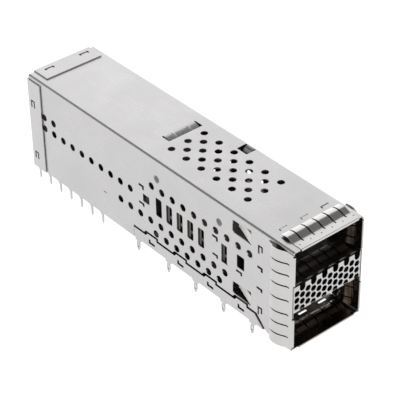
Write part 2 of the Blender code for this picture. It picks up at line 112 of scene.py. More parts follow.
class Finish:
    def __init__(self, name, metallic, roughness, colour):
        self.material = bpy.data.materials.new(name)
        self.material.use_nodes = True
        self.tree = self.material.node_tree
        self.shader = self.tree.nodes["Principled BSDF"]
        self.place = self.add("ShaderNodeTexCoord").outputs["Object"]
        self.set(Metallic=metallic, Roughness=roughness)
        self.tint((*colour, 1.0))

    def add(self, kind, settings=None, sockets=None):
        node = self.tree.nodes.new(kind)
        for key, value in (settings or {}).items():
            setattr(node, key, value)
        for key, value in (sockets or {}).items():
            plug(self.tree, node.inputs[key], value)
        return node

    def vector(self, operation, *others):
        sockets = dict(enumerate(others))
        return self.add("ShaderNodeVectorMath", {"operation": operation}, sockets).outputs

    def axes(self, vector):
        return self.add("ShaderNodeSeparateXYZ", sockets={"Vector": vector}).outputs

    def normal(self):
        return self.add("ShaderNodeNewGeometry").outputs["Normal"]

    def tint(self, colour):
        plug(self.tree, self.shader.inputs["Base Color"], colour)

    def set(self, **sockets):
        for key, value in sockets.items():
            plug(self.tree, self.shader.inputs[key], value)

    def stretched(self, scale):
        sockets = {"Vector": self.place, "Scale": scale}
        return self.add("ShaderNodeMapping", sockets=sockets).outputs[0]

    def noise(self, scale, detail=2.0, stretch=(1, 1, 1), roughness=0.5):
        sockets = {"Vector": self.stretched(stretch), "Scale": scale, "Detail": detail,
                   "Roughness": roughness}
        return Num(self.tree, self.add("ShaderNodeTexNoise", sockets=sockets).outputs["Fac"])

    def ramp(self, value, low, high):
        sockets = {"Value": value, "From Min": low, "From Max": high}
        return Num(self.tree, self.add("ShaderNodeMapRange", {"clamp": True}, sockets).outputs[0])

    def blend(self, factor, first, second):
        node = self.add("ShaderNodeMix", {"data_type": "RGBA"})
        plug(self.tree, node.inputs["Factor"], factor)
        plug(self.tree, node.inputs[6], first)
        plug(self.tree, node.inputs[7], second)
        return node.outputs[2]

    def bump(self, height, strength, distance):
        sockets = {"Height": height, "Strength": strength, "Distance": distance * mm}
        self.set(Normal=self.add("ShaderNodeBump", sockets=sockets).outputs[0])


# Faces that look towards the cage's own middle get painted shade: a darker colour stands in for the shade
# inside the closed box.
def inwardShadeMask(finish, start, end):
    away = finish.vector("SUBTRACT", finish.place, (0, 0, topZ / 2 * mm))[0]
    radial = finish.vector("NORMALIZE", finish.vector("MULTIPLY", away, (1, 0, 1))[0])[0]
    facing = finish.vector("DOT_PRODUCT", radial, finish.normal())["Value"]
    return finish.ramp(Num(finish.tree, facing), start, end)


def insideWalls(finish):
    across = Num(finish.tree, finish.axes(finish.place)["X"]) * (1 / mm)
    return finish.ramp(abs(across), halfWidth + slip, halfWidth)


# Faces on the folds along the cage's length are painted darker than the flats: a painted dark reflection along
# the bends.
def foldReflectionMask(finish):
    parts = finish.axes(finish.normal())
    across, up = Num(finish.tree, parts["X"]), Num(finish.tree, parts["Z"])
    return finish.ramp(abs(across * up), 0.24, 0.42)


# Under the spring fingers the cover lies in deep shade, which shows through the slits and at the top end.
shade = {"rear": 6.5, "topRear": 6.25, "edge": 0.2, "sideTop": 24.85, "topHalf": 7.7, "topShift": 0.25,
         "lens": (4.75, 24.42), "lensHalf": (2.95, 0.62), "rightDrop": 1.4, "leftOnly": 9.0,
         "colour": (0.07, 0.058, 0.052)}


def shadeMask(finish):
    parts = finish.axes(finish.place)
    across, depth, up = (Num(finish.tree, parts[axis]) * (1 / mm) for axis in "XYZ")
    depth = depth - frontY
    edge = shade["edge"]
    wall = finish.ramp(abs(across), halfWidth - edge, halfWidth - edge / 2)
    right = finish.ramp(across, 0.0, 1.0)
    limit = up + right * shade["rightDrop"]
    under = finish.ramp(depth, shade["rear"] + edge, shade["rear"])
    under = under * finish.ramp(limit, shade["sideTop"], shade["sideTop"] - edge)
    middle, level = shade["lens"]
    half, rise = shade["lensHalf"]
    oval = ((depth - middle) * (1 / half)) ** 2 + ((up - level) * (1 / rise)) ** 2
    lens = finish.ramp(oval + right * shade["leftOnly"], 1.0, 0.75)
    top = finish.ramp(up, topZ - edge, topZ - edge / 2)
    top = top * finish.ramp(depth, shade["topRear"] + edge, shade["topRear"])
    top = top * finish.ramp(abs(across - shade["topShift"]), shade["topHalf"], shade["topHalf"] - edge)
    side = wall * under.math("MAXIMUM", under, lens)
    return side.math("MAXIMUM", side, top)


# A round patch of painted reflection: the dim bluish reflection in a wall dimple, on both walls.
def dimpleReflectionMask(finish, depth, z, radius):
    spot = (halfWidth * mm, (frontY + depth) * mm, z * mm)
    folded = finish.vector("ABSOLUTE", finish.place)[0]
    across = finish.vector("MULTIPLY", folded, (1, 0, 0))[0]
    upright = finish.vector("MULTIPLY", finish.place, (0, 1, 1))[0]
    oneSide = finish.vector("ADD", upright, across)[0]
    away = finish.vector("DISTANCE", oneSide, spot)["Value"]
    return finish.ramp(Num(finish.tree, away), radius * 1.1 * mm, radius * 0.75 * mm)


def sheetFinish(name, look):
    finish = Finish(name, look["metallic"], look["roughness"], look["colour"])
    smudge = finish.noise(look["smudgeScale"], 3.0)
    grain = finish.noise(look["grainScale"], 2.0, look["grainStretch"])
    speck = finish.ramp(finish.noise(look["speckScale"], 1.0), 0.66, 0.74)
    pale = tuple(min(1.0, part * look["paleShare"]) for part in look["colour"])
    dull = tuple(part * look["dullShare"] for part in look["colour"])
    tone = finish.blend(finish.ramp(smudge, 0.3, 0.7), (*pale, 1.0), (*dull, 1.0))
    worn = tuple(part * look["speckShade"] for part in look["colour"])
    tone = finish.blend(speck * look["speckAmount"], tone, (*worn, 1.0))
    # Painted reflection in the wall dimples.
    for depth, z in look["dimpleReflections"]:
        tone = finish.blend(dimpleReflectionMask(finish, depth, z, look["dimpleReflectionRadius"]), tone, (*look["dimpleReflectionColour"], 1.0))
    # Painted shade on faces that look inwards between the walls.
    inward = inwardShadeMask(finish, -0.15, -0.5) * insideWalls(finish) if look["innerShadeShare"] else 0.0
    innerShade = tuple(part * share for part, share in zip(look["colour"], look["innerShadeShare"] or (1, 1, 1)))
    tone = finish.blend(inward, tone, (*innerShade, 1.0))
    # Painted dark reflection along the folds, then the painted shade under the spring fingers.
    if look["foldReflectionShare"]:
        fold = tuple(part * look["foldReflectionShare"] for part in look["colour"])
        tone = finish.blend(foldReflectionMask(finish), tone, (*fold, 1.0))
        tone = finish.blend(shadeMask(finish), tone, (*shade["colour"], 1.0))
    finish.tint(tone)
    spread = look["roughnessSpread"]
    rough = look["roughness"] + (smudge - 0.5) * spread + (grain - 0.5) * spread * 0.6 + speck * 0.05
    finish.set(Roughness=rough)
    finish.bump(grain + speck * -0.6, look["bump"], look["bumpDepth"])
    return finish.material


plateLook = {
    "colour": (0.475, 0.468, 0.468), "metallic": 1.0, "roughness": 0.28, "roughnessSpread": 0.1,
    "smudgeScale": 95.0, "grainScale": 900.0, "grainStretch": (1.0, 0.12, 1.0), "speckScale": 1900.0,
    "paleShare": 1.025, "dullShare": 0.965, "speckShade": 0.8, "speckAmount": 0.15,
    "bump": 0.12, "bumpDepth": 0.02, "innerShadeShare": (0.42, 0.38, 0.36), "foldReflectionShare": 0.3,
    "dimpleReflections": ((43.6, 20.3), (23.0, 20.3)), "dimpleReflectionRadius": 0.95, "dimpleReflectionColour": (0.11, 0.125, 0.15),
}
springLook = {
    "colour": (0.50, 0.49, 0.485), "metallic": 1.0, "roughness": 0.2, "roughnessSpread": 0.08,
    "smudgeScale": 160.0, "grainScale": 1500.0, "grainStretch": (0.4, 0.4, 0.4), "speckScale": 2600.0,
    "paleShare": 1.02, "dullShare": 0.95, "speckShade": 0.75, "speckAmount": 0.12,
    "bump": 0.08, "bumpDepth": 0.015, "innerShadeShare": (0.42, 0.35, 0.31), "foldReflectionShare": 0, "dimpleReflections": (),
}
# Painted shade: a dark copy of the sheet finishes for the dividers and their gaskets deep inside the ports.
shadedInsideLook = {"colour": (0.105, 0.096, 0.09), "roughness": 0.3, "innerShadeShare": None, "foldReflectionShare": 0,
              "dimpleReflections": ()}
latchLook = {"colour": (0.47, 0.462, 0.46), "metallic": 0.25, "roughness": 0.45, "foldReflectionShare": 0,
             "dimpleReflections": ()}
plasticLook = {"colour": (0.018, 0.018, 0.02), "dust": (0.05, 0.05, 0.052), "roughness": 0.5,
               "grainScale": 2600.0, "flowScale": 140.0, "bump": 0.25, "bumpDepth": 0.02}
goldLook = {"colour": (0.80, 0.56, 0.22), "worn": (0.62, 0.55, 0.42), "roughness": 0.24, "wearScale": 900.0}
tinLook = {"colour": (0.66, 0.66, 0.65), "worn": (0.44, 0.44, 0.44), "roughness": 0.42, "wearScale": 1400.0}


def plasticFinish(name, look):
    finish = Finish(name, 0.0, look["roughness"], look["colour"])
    flow = finish.noise(look["flowScale"], 3.0, (1, 0.4, 1))
    grain = finish.noise(look["grainScale"], 2.0)
    tone = finish.blend(finish.ramp(flow, 0.45, 0.8) * 0.5, (*look["colour"], 1.0), (*look["dust"], 1.0))
    finish.tint(tone)
    finish.set(Roughness=look["roughness"] + (flow - 0.5) * 0.2)
    finish.bump(grain, look["bump"], look["bumpDepth"])
    return finish.material


def platedFinish(name, look):
    finish = Finish(name, 1.0, look["roughness"], look["colour"])
    wear = finish.noise(look["wearScale"], 3.0)
    tone = finish.blend(finish.ramp(wear, 0.5, 0.75) * 0.6, (*look["colour"], 1.0), (*look["worn"], 1.0))
    finish.tint(tone)
    finish.set(Roughness=look["roughness"] + (wear - 0.5) * 0.2)
    finish.bump(wear, 0.1, 0.01)
    return finish.material


plateMetal = sheetFinish("nickelSheet", plateLook)
springMetal = sheetFinish("springSheet", springLook)
# Dark copies painted with shade for the parts deep inside the ports.
shadedInsidePlate = sheetFinish("nickelInsideShaded", {**plateLook, **shadedInsideLook})
latchMetal = sheetFinish("latchSheet", {**plateLook, **latchLook})
shadedInsideSpring = sheetFinish("springInsideShaded", {**springLook, **shadedInsideLook})
blackPlastic = plasticFinish("connectorPolymer", plasticLook)
contactGold = platedFinish("contactGold", goldLook)
tailTin = platedFinish("tailTin", tinLook)
print("finishes made")


def place(x, depth, z):
    return Vector((x, frontY + depth, z)) * mm


def newObject(name, mesh):
    piece = bpy.data.objects.new(name, mesh)
    bpy.context.scene.collection.objects.link(piece)
    return piece


def evaluatedMesh(piece):
    graph = bpy.context.evaluated_depsgraph_get()
    return bpy.data.meshes.new_from_object(piece.evaluated_get(graph))


def drop(*objects):
    for item in objects:
        bpy.data.objects.remove(item)


def arc(centre, radius, start, end, steps):
    turns = [math.radians(start + (end - start) * step / steps) for step in range(steps + 1)]
    return [(centre[0] + radius * math.cos(turn), centre[1] + radius * math.sin(turn)) for turn in turns]


def mirrored(points):
    return points + [(-x, other) for x, other in reversed(points)]


def rectangle(low, high, corner=0.0, steps=5):
    if not corner:
        return [low, (high[0], low[1]), high, (low[0], high[1])]
    centres = rectangle((low[0] + corner, low[1] + corner), (high[0] - corner, high[1] - corner))
    return [point for centre, start in zip(centres, (180, 270, 0, 90))
            for point in arc(centre, corner, start, start + 90, steps)]


# Outlines lie in a plane: "side" is (depth, z) along x, "front" is (x, z) along depth and
# "top" is (x, depth) along z.
planes = {
    "side": Matrix(((0, 0, 1), (1, 0, 0), (0, 1, 0))).to_4x4(),
    "front": Matrix(((1, 0, 0), (0, 0, -1), (0, 1, 0))).to_4x4(),
    "top": Matrix.Identity(4),
}
normals = {"side": (1, 0, 0), "front": (0, 1, 0), "top": (0, 0, 1)}


def stood(mesh, plane, centre):
    shift = Matrix.Translation((centre[0], frontY + centre[1], centre[2]))
    mesh.transform(Matrix.Scale(mm, 4) @ shift @ planes[plane])


# A flat outline with holes where outlines nest, extruded across its plane from low to high.
def prism(name, outlines, plane, low, high):
    curve = bpy.data.curves.new(name, "CURVE")
    curve.dimensions = "2D"
    curve.fill_mode = "BOTH"
    curve.extrude = (high - low) / 2
    for outline in outlines:
        spline = curve.splines.new("POLY")
        spline.points.add(len(outline) - 1)
        for point, spot in zip(spline.points, outline):
            point.co = (*spot, 0, 1)
        spline.use_cyclic_u = True
    carrier = newObject(name, curve)
    mesh = evaluatedMesh(carrier)
    drop(carrier)
    stood(mesh, plane, Vector(normals[plane]) * (low + high) / 2)
    shape = bmesh.new()
    shape.from_mesh(mesh)
    bmesh.ops.remove_doubles(shape, verts=shape.verts, dist=1e-7)
    bmesh.ops.beautify_fill(shape, faces=shape.faces, edges=shape.edges)
    bmesh.ops.recalc_face_normals(shape, faces=shape.faces)
    shape.to_mesh(mesh)
    shape.free()
    return newObject(name, mesh)


# An open surface of stations by profile points, thickened about its middle and returned solid.
def sheetSolid(name, stations, profile, spot, thickness=sheet, keep=None):
    shape = bmesh.new()
    grid = {}
    for i in range(len(stations) - 1):
        for j in range(len(profile) - 1):
            if keep and not keep(i, j):
                continue
            corners = []
            for a, b in ((i, j), (i + 1, j), (i + 1, j + 1), (i, j + 1)):
                if (a, b) not in grid:
                    grid[a, b] = shape.verts.new(place(*spot(stations[a], profile[b])))
                corners.append(grid[a, b])
            shape.faces.new(corners)
    bmesh.ops.recalc_face_normals(shape, faces=shape.faces)
    piece = shapeObject(name, shape)
    solidify = piece.modifiers.new("thickness", "SOLIDIFY")
    solidify.thickness = thickness * mm
    solidify.offset = 0
    solidify.use_even_offset = True
    return baked(piece)


def acrossAndUp(depth, point):
    return point[0], depth, point[1]


def baked(piece):
    mesh = evaluatedMesh(piece)
    name = piece.name
    drop(piece)
    return newObject(name, mesh)


def shapeObject(name, shape):
    mesh = bpy.data.meshes.new(name)
    shape.to_mesh(mesh)
    shape.free()
    return newObject(name, mesh)


def joined(name, *objects):
    shape = bmesh.new()
    for item in objects:
        shape.from_mesh(item.data)
    drop(*objects)
    return shapeObject(name, shape)


def carve(piece, cutter, operation="DIFFERENCE"):
    modifier = piece.modifiers.new("carve", "BOOLEAN")
    modifier.object = cutter
    modifier.operation = operation
    modifier.solver = "EXACT"
    result = baked(piece)
    drop(cutter)
    return result


def finishPiece(piece, body, slot, material, *nodes, smooth=None):
    piece.data.materials.clear()
    piece.data.materials.append(material)
    if smooth is None:
        piece.data.shade_flat()
    else:
        piece.data.shade_smooth()
        piece.data.set_sharp_from_angle(angle=math.radians(smooth))
    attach(piece, body)
    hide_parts(*nodes)
    return piece


# Geometry Nodes: a grid of punches, which are many-sided prisms standing on their own z axis.
def punchTree():
    tree = bpy.data.node_groups.new("punchGrid", "GeometryNodeTree")
    for name, kind in (("Along Count", "Int"), ("Across Count", "Int"), ("Along Pitch", "Float"),
                       ("Across Pitch", "Float"), ("Radius", "Float"), ("Length", "Float"),
                       ("Sides", "Int"), ("Material", "Material")):
        tree.interface.new_socket(name, in_out="INPUT", socket_type=f"NodeSocket{kind}")
    tree.interface.new_socket("Geometry", in_out="OUTPUT", socket_type="NodeSocketGeometry")
    given = tree.nodes.new("NodeGroupInput").outputs
    link = tree.links.new

    def span(count, pitch):
        return ((Num(tree, given[count]) - 1) * given[pitch]).socket

    grid = tree.nodes.new("GeometryNodeMeshGrid")
    for way, axis in (("Along", "X"), ("Across", "Y")):
        link(span(f"{way} Count", f"{way} Pitch"), grid.inputs[f"Size {axis}"])
        link(given[f"{way} Count"], grid.inputs[f"Vertices {axis}"])
    punch = tree.nodes.new("GeometryNodeMeshCylinder")
    for name, socket in (("Sides", "Vertices"), ("Radius", "Radius"), ("Length", "Depth")):
        link(given[name], punch.inputs[socket])
    stand = tree.nodes.new("GeometryNodeInstanceOnPoints")
    link(grid.outputs["Mesh"], stand.inputs["Points"])
    link(punch.outputs["Mesh"], stand.inputs["Instance"])
    real = tree.nodes.new("GeometryNodeRealizeInstances")
    link(stand.outputs[0], real.inputs[0])
    paint = tree.nodes.new("GeometryNodeSetMaterial")
    link(real.outputs[0], paint.inputs["Geometry"])
    link(given["Material"], paint.inputs["Material"])
    link(paint.outputs[0], tree.nodes.new("NodeGroupOutput").inputs[0])
    return tree


punches = punchTree()


def punchGrid(counts, pitches, centre, plane, radius, length, sides=32):
    values = {"Along Count": counts[0], "Across Count": counts[1], "Along Pitch": float(pitches[0]),
              "Across Pitch": float(pitches[1]), "Radius": radius, "Length": length, "Sides": sides,
              "Material": plateMetal}
    holder = newObject("punchGrid", bpy.data.meshes.new("punchGrid"))
    modifier = holder.modifiers.new("punches", "NODES")
    modifier.node_group = punches
    for item in punches.interface.items_tree:
        if item.item_type == "SOCKET" and item.name in values:
            modifier[item.identifier] = values[item.name]
    piece = baked(holder)
    stood(piece.data, plane, centre)
    return piece


# Cage cover: top and both walls in one folded sheet
cover = {
    "bend": 0.5, "bendSteps": 12,
    "ventRadius": 0.9, "ventPitch": 3.56,
    "ventRows": ((lowerCeiling + 3.91, rearEdge - 5.32, 10), (upperFloor - 0.32, rearEdge - 5.32, 2),
                 (lowerCeiling - 0.98, noseDepth + 14.82, 11), (lowerFloor + 4.91, noseDepth + 2.36, 7),
                 (upperFloor + 1.31, noseDepth + 3.46, 10)),
    "windowPitch": 3.55, "windowHalf": 1.0, "windowLow": lowerCeiling + 1.48, "windowHigh": upperFloor - 0.97,
    "windowCount": 5, "windowRear": noseDepth + 1.1, "windowCorner": 0.4,
    "latchWindow": (12.9, 18.7, 3.85, 7.45), "latchEase": (0.3, 0.25, 0.5), "latchStep": (2.0, 1.4),
    "mark": ((62.1, 6.65), (63.2, 6.87)),
    "topVentRadius": 0.85, "topVentRows": 11, "topVentRowPitch": 2.477, "topVentSpacing": 4.64,
    "topVentShift": 0.3, "topVentRear": noseDepth + 2.7,
    "spurWindow": (19.95, 20.5, 22.3), "notchWindow": ((15.05, lowerCeiling + 2.95), 17.35),
    "rearWindow": ((noseDepth + 4.4, lowerCeiling + 2.85), (noseDepth + 6.6, upperFloor - 2.35)),
    "topLances": (-6.6, -0.75, 5.0), "topLance": (7.45, 8.25, 2.25, 0.28), "tabSink": 0.01,
    "slot": (-2.9, 6.65, noseDepth + 5.3, noseDepth + 7.8), "slotTabDrop": 0.38, "slotTabCurve": 2.3,
    "slotTabGap": 0.65, "slotTabMargins": (0.45, 0.4), "slotTabSteps": 12,
    "slotRidges": (-0.17, 4.0), "slotRidgeWidth": 0.3, "slotRidgeRise": 0.03,
    "sideTab": (32.4, 35.6), "sideTabMargin": 0.45, "sideTabReach": 2.7,
    "sideTabHinge": innerHalf - 0.3, "sideTabDrop": 1.1,
    "dimples": ((43.6, 20.3), (23.0, 20.3)), "dimpleRadius": 0.95, "dimpleDepth": 0.24,
}
# Lances in the walls: high ones under the upper port's floor, low ones lower down, and an arch to a port.
lances = {
    "high": ((23.4, 25.2), (9.35, 11.0), (48.2, 50.0)), "highBelow": 0.15, "highLeg": 1.25, "highWidth": 0.6,
    "low": ((23.4, 25.2, 10.25), (15.7, 17.6, 10.15), (9.4, 11.2, 9.5), (48.2, 50.1, 10.25)),
    "lowBar": 1.05, "lowLeg": 0.05, "lowWidth": 0.55,
    "arch": (9.4, 10.85), "archLevels": (5.25, 3.7, 3.05),
}
seam = {"gap": 0.6, "slantGap": 1.5, "endGap": 0.08, "front": 8.5, "run": 3.0, "level": 3.05,
        "bumpFirst": 14.1, "bumpPitch": 10.0, "bumpLength": 3.7, "bumpRise": 0.72, "bumpSlope": 0.6,
        "bumps": 4, "end": noseDepth + 10.4}
wallPins = {"half": 0.24, "tip": -2.9, "tipHalf": 0.06, "point": 0.5, "pitch": 4.09, "count": 7,
            "rear": rearEdge - 1.7, "frontFillet": (0.25, -0.3),
            "rearFillet": ((0.08, -0.75), (0.4, -0.25), (0.95, 0))}


def seamEdge(side, foot):
    gap = side * seam["gap"] / 2
    level = seam["level"] + gap
    slant = seam["run"] / seam["level"]
    start = seam["front"] - gap * math.hypot(1, slant) * seam["slantGap"]
    points = [(start, foot), (start + level * slant, level)]
    for step in range(seam["bumps"]):
        front = seam["bumpFirst"] + step * seam["bumpPitch"]
        rear = front + seam["bumpLength"]
        top = level + seam["bumpRise"]
        points += [(front - gap, level), (front - gap, top), (rear + gap, top),
                   (rear + gap + seam["bumpSlope"], level)]
    end = seam["end"] + side * seam["endGap"] / 2
    return points + [(end, level), (end, foot)]


def wallPinEdge():
    points = []
    half, tip, tipHalf = wallPins["half"], wallPins["tip"], wallPins["tipHalf"]
    shoulder = tip + wallPins["point"]
    width, foot = wallPins["frontFillet"]
    for step in reversed(range(wallPins["count"])):
        depth = wallPins["rear"] - step * wallPins["pitch"]
        points += [(depth - half - width, 0), (depth - half, foot), (depth - half, shoulder),
                   (depth - tipHalf, tip), (depth + tipHalf, tip), (depth + half, shoulder)]
        points += [(depth + half + away, z) for away, z in wallPins["rearFillet"]]
    return points


# A lance is a thin cut in the shape of a corner: a bar along the depth and one leg across it.
def lance(front, rear, barZ, legZ, width=0.26, legAtFront=True):
    up = 1 if barZ > legZ else -1
    leg = front if legAtFront else rear
    inward = 1 if legAtFront else -1
    far = rear if legAtFront else front
    return [(leg, barZ), (far, barZ), (far, barZ - up * width), (leg + inward * width, barZ - up * width),
            (leg + inward * width, legZ), (leg, legZ)]


def archLance(front, rear, top, frontLow, rearLow, width=0.45):
    return [(front, frontLow), (front, top), (rear, top), (rear, rearLow), (rear - width, rearLow),
            (rear - width, top - width), (front + width, top - width), (front + width, frontLow)]


def wallLances():
    top = upperFloor - lances["highBelow"]
    cuts = []
    for front, rear in lances["high"]:
        cuts.append(lance(front, rear, top, top - lances["highLeg"], lances["highWidth"]))
    for front, rear, low in lances["low"]:
        cuts.append(lance(front, rear, low + lances["lowBar"], low + lances["lowLeg"], lances["lowWidth"]))
    for floor in portFloors:
        cuts.append(archLance(*lances["arch"], *(floor + level for level in lances["archLevels"])))
    return cuts


def notchWindow():
    corner, rear = cover["notchWindow"]
    return rectangle(corner, (rear, cover["windowHigh"]), 0.2)


def wallWindows():
    windows = []
    half = cover["windowHalf"]
    low, high = cover["windowLow"], cover["windowHigh"]
    for step in range(cover["windowCount"]):
        depth = cover["windowRear"] - step * cover["windowPitch"]
        windows.append(rectangle((depth - half, low), (depth + half, high), cover["windowCorner"]))
    spur, near, far = cover["spurWindow"]
    windows.append([(spur, low + 0.05), (near, low), (far, low), (far, high), (near, high),
                    (near, low + 0.3)])
    windows.append(notchWindow())
    windows.append(rectangle(*cover["mark"]))
    windows.append(rectangle(*cover["rearWindow"], 0.1))
    front, rear, low, high = cover["latchWindow"]
    back, ease, corner = cover["latchEase"]
    far, near = cover["latchStep"]
    for floor in portFloors:
        bottom, top = floor + low, floor + high
        windows.append([(front, bottom), (rear - back, bottom + ease), (rear, bottom + corner),
                        (rear, top - corner), (rear - back, top - ease), (front + far, top - ease),
                        (front + near, top), (front, top)])
    return windows


def makeCover():
    middle = halfWidth - sheet / 2
    top = topZ - sheet / 2
    radius = cover["bend"] - sheet / 2
    left = [(-middle, wallPins["tip"] - 1)]
    left += arc((radius - middle, top - radius), radius, 180, 90, cover["bendSteps"])
    piece = sheetSolid("cageCover", [shellFront, rearEdge], mirrored(left), acrossAndUp)
    wide = halfWidth + 2
    below = wallPins["tip"] - 3
    trim = [(-3, 0)] + seamEdge(1, 0) + wallPinEdge() + [(rearEdge + 3, 0), (rearEdge + 3, below), (-3, below)]
    piece = carve(piece, prism("trim", [trim], "side", -wide, wide))
    piece = carve(piece, prism("windows", wallWindows() + wallLances(), "side", -wide, wide))
    rows = []
    for z, rear, count in cover["ventRows"]:
        centre = rear - (count - 1) * cover["ventPitch"] / 2
        rows.append(punchGrid((count, 1), (cover["ventPitch"], 1), (0, centre, z), "side",
                              cover["ventRadius"], 2 * wide))
    spacing = cover["topVentSpacing"]
    rowSpan = (cover["topVentRows"] - 1) * cover["topVentRowPitch"]
    centre = (cover["topVentShift"], cover["topVentRear"] - rowSpan / 2, topZ)
    for across, along in ((3, 6), (2, 5)):
        rows.append(punchGrid((across, along), (spacing, 2 * cover["topVentRowPitch"]), centre, "top",
                              cover["topVentRadius"], 2))
    piece = carve(piece, joined("vents", *rows))
    piece = carve(piece, prism("topCuts", topCuts(), "top", topZ - 1, topZ + 1))
    piece = carve(piece, dimpleBalls())
    return joined("cageCover", piece, slotTab(), sideTab())


def topCuts():
    left, right, front, rear = cover["slot"]
    slot = rectangle((left, front), (right, rear), 0.15)
    hinge = cover["sideTabHinge"]
    tabFront, tabRear = cover["sideTab"]
    cuts = [slot, rectangle((hinge - cover["sideTabReach"], tabFront), (hinge, tabRear), 0.12)]
    near, far, long, thin = cover["topLance"]
    for low in cover["topLances"]:
        cuts.append([(low, near), (low, far), (low + long, far), (low + long, far - thin),
                     (low + thin, far - thin), (low + thin, near)])
    return cuts


def dimpleBalls():
    radius = cover["dimpleRadius"]
    deep = cover["dimpleDepth"]
    ball = (radius * radius + deep * deep) / (2 * deep)
    balls = []
    for depth, z in cover["dimples"]:
        for side in (-1, 1):
            shape = bmesh.new()
            bmesh.ops.create_uvsphere(shape, u_segments=96, v_segments=96, radius=ball * mm)
            bmesh.ops.rotate(shape, verts=shape.verts, matrix=Matrix.Rotation(math.pi / 2, 3, "Y"))
            centre = place(side * (halfWidth + ball - deep), depth, z)
            bmesh.ops.translate(shape, verts=shape.verts, vec=centre)
            balls.append(shapeObject("dimpleBall", shape))
    return joined("dimpleBalls", *balls)


def slotTab():
    left, right, front, rear = cover["slot"]
    z = topZ - sheet / 2 - cover["tabSink"]
    reach, fall = rear - front - cover["slotTabGap"], cover["slotTabDrop"]
    path = [(rear + 0.3, z), (rear, z)]
    steps = cover["slotTabSteps"]
    for step in range(1, steps + 1):
        path.append((rear - reach * step / steps, z - fall * (step / steps) ** cover["slotTabCurve"]))
    ridges = cover["slotRidges"]
    width = cover["slotRidgeWidth"]
    leftMargin, rightMargin = cover["slotTabMargins"]
    folds = [x + width * share for x in ridges for share in (-1, -0.5, 0, 0.5, 1)]
    stations = [left + leftMargin] + folds + [right - rightMargin]

    def spot(x, p):
        lift = max(math.cos(math.pi / 2 * min(1.0, abs(x - ridge) / width)) for ridge in ridges)
        return x, p[0], p[1] + cover["slotRidgeRise"] * lift * (p[0] < rear)

    return sheetSolid("slotTab", stations, path, spot)


def sideTab():
    hinge = cover["sideTabHinge"]
    z = topZ - sheet / 2 - cover["tabSink"]
    fall = cover["sideTabDrop"] - sheet
    path = [(hinge + 0.25, z), (hinge, z), (hinge - 0.3, z - 0.06), (hinge - 0.7, z - 0.28),
            (hinge - 1.15, z - fall * 0.8), (hinge - 1.4, z - fall)]
    front, rear = cover["sideTab"]
    margin = cover["sideTabMargin"]
    return sheetSolid("sideTab", [front + margin, rear - margin], path, acrossAndUp)


finishPiece(makeCover(), "root", "steel", plateMetal, "cage_cover")
print("cover made")


# Bottom plate with its flanges, press-fit pins and lances
firstPin, pinPitch = 12.6, 9.27
plate = {
    "pins": [firstPin + pinPitch * step for step in range(4)] + [seam["end"] - 1.3],
    "shoulder": (0.95, -0.6), "neck": 0.33, "bulge": 0.56, "taper": -2.75, "tip": pinTip,
    "eye": (0.2, -1.15, -2.35), "slots": (-5.4, 0.35, 6.1), "slotDepth": (7.45, 8.0), "slotHalf": 1.15,
    "lift": 0.04, "flangeLance": (2.2, 1.05), "flangeLanceFrom": 2.0, "flangeLanceHalf": 1.05,
    "flangeLanceWidth": 0.6, "crook": 0.15, "pointHalf": 0.1,
}


def pinEdge(depth):
    shoulder, low = plate["shoulder"]
    neck, bulge, crook, point = plate["neck"], plate["bulge"], plate["crook"], plate["pointHalf"]
    side = [(shoulder, plate["lift"]), (shoulder, low + crook), (shoulder - crook, low)]
    side += [(neck + 0.12, low), (neck, low - crook)]
    for step in range(9):
        turn = step / 8
        z = low - crook + (plate["taper"] - low + crook) * turn
        side.append((neck + (bulge - neck) * math.sin(math.pi * turn), z))
    side += [(2 * point, plate["tip"] + 0.08), (point, plate["tip"])]
    return [(depth + x, z) for x, z in side] + [(depth - x, z) for x, z in reversed(side)]


def eyeEdge(depth):
    half, high, low = plate["eye"]
    return arc((depth, high - half), half, 0, 180, 8) + arc((depth, low + half), half, 180, 360, 8)


def makeBottomPlate():
    narrow = innerHalf - slip
    wide = halfWidth - sheet / 2
    step = seam["front"] + 0.6
    rear = seam["end"] - seam["gap"] / 2 - 0.4
    right = [(narrow, shellFront), (narrow, step), (wide, step), (wide, rear)]
    half = plate["slotHalf"]
    near, far = plate["slotDepth"]
    slots = [rectangle((x - half, near), (x + half, far), 0.1) for x in plate["slots"]]
    piece = prism("floor", [mirrored(right)] + slots, "top", 0, sheet)
    flange = seamEdge(-1, plate["lift"])
    for depth in reversed(plate["pins"]):
        flange += pinEdge(depth)
    high, low = plate["flangeLance"]
    reach = plate["flangeLanceHalf"]
    holes = [eyeEdge(depth) for depth in plate["pins"]]
    for step in range(seam["bumps"]):
        middle = seam["bumpFirst"] + step * seam["bumpPitch"] + plate["flangeLanceFrom"]
        holes.append(lance(middle - reach, middle + reach, low, high, plate["flangeLanceWidth"], False))
    for side in (-1, 1):
        inner = min(side * halfWidth, side * innerHalf)
        piece = carve(piece, prism("flange", [flange] + holes, "side", inner, inner + sheet), "UNION")
    return piece


finishPiece(makeBottomPlate(), "root", "steel", plateMetal, "bottom_plate")
print("bottom plate made")


# Rear cover, folded over the outside of the walls and the top
rear = {"flange": 4.9, "height": 24.15, "topFlange": 5.2, "insetLeft": 2.1, "insetRight": 1.8, "bend": 0.3,
        "lances": ((17.0, 19.0), (2.7, 4.7)), "lanceSpan": (2.6, 1.1), "topLances": (-5.9, 4.1),
        "topLanceWidth": 2.6, "topLanceInset": 0.95, "topLanceLevels": (0.5, 1.2, 1.35)}


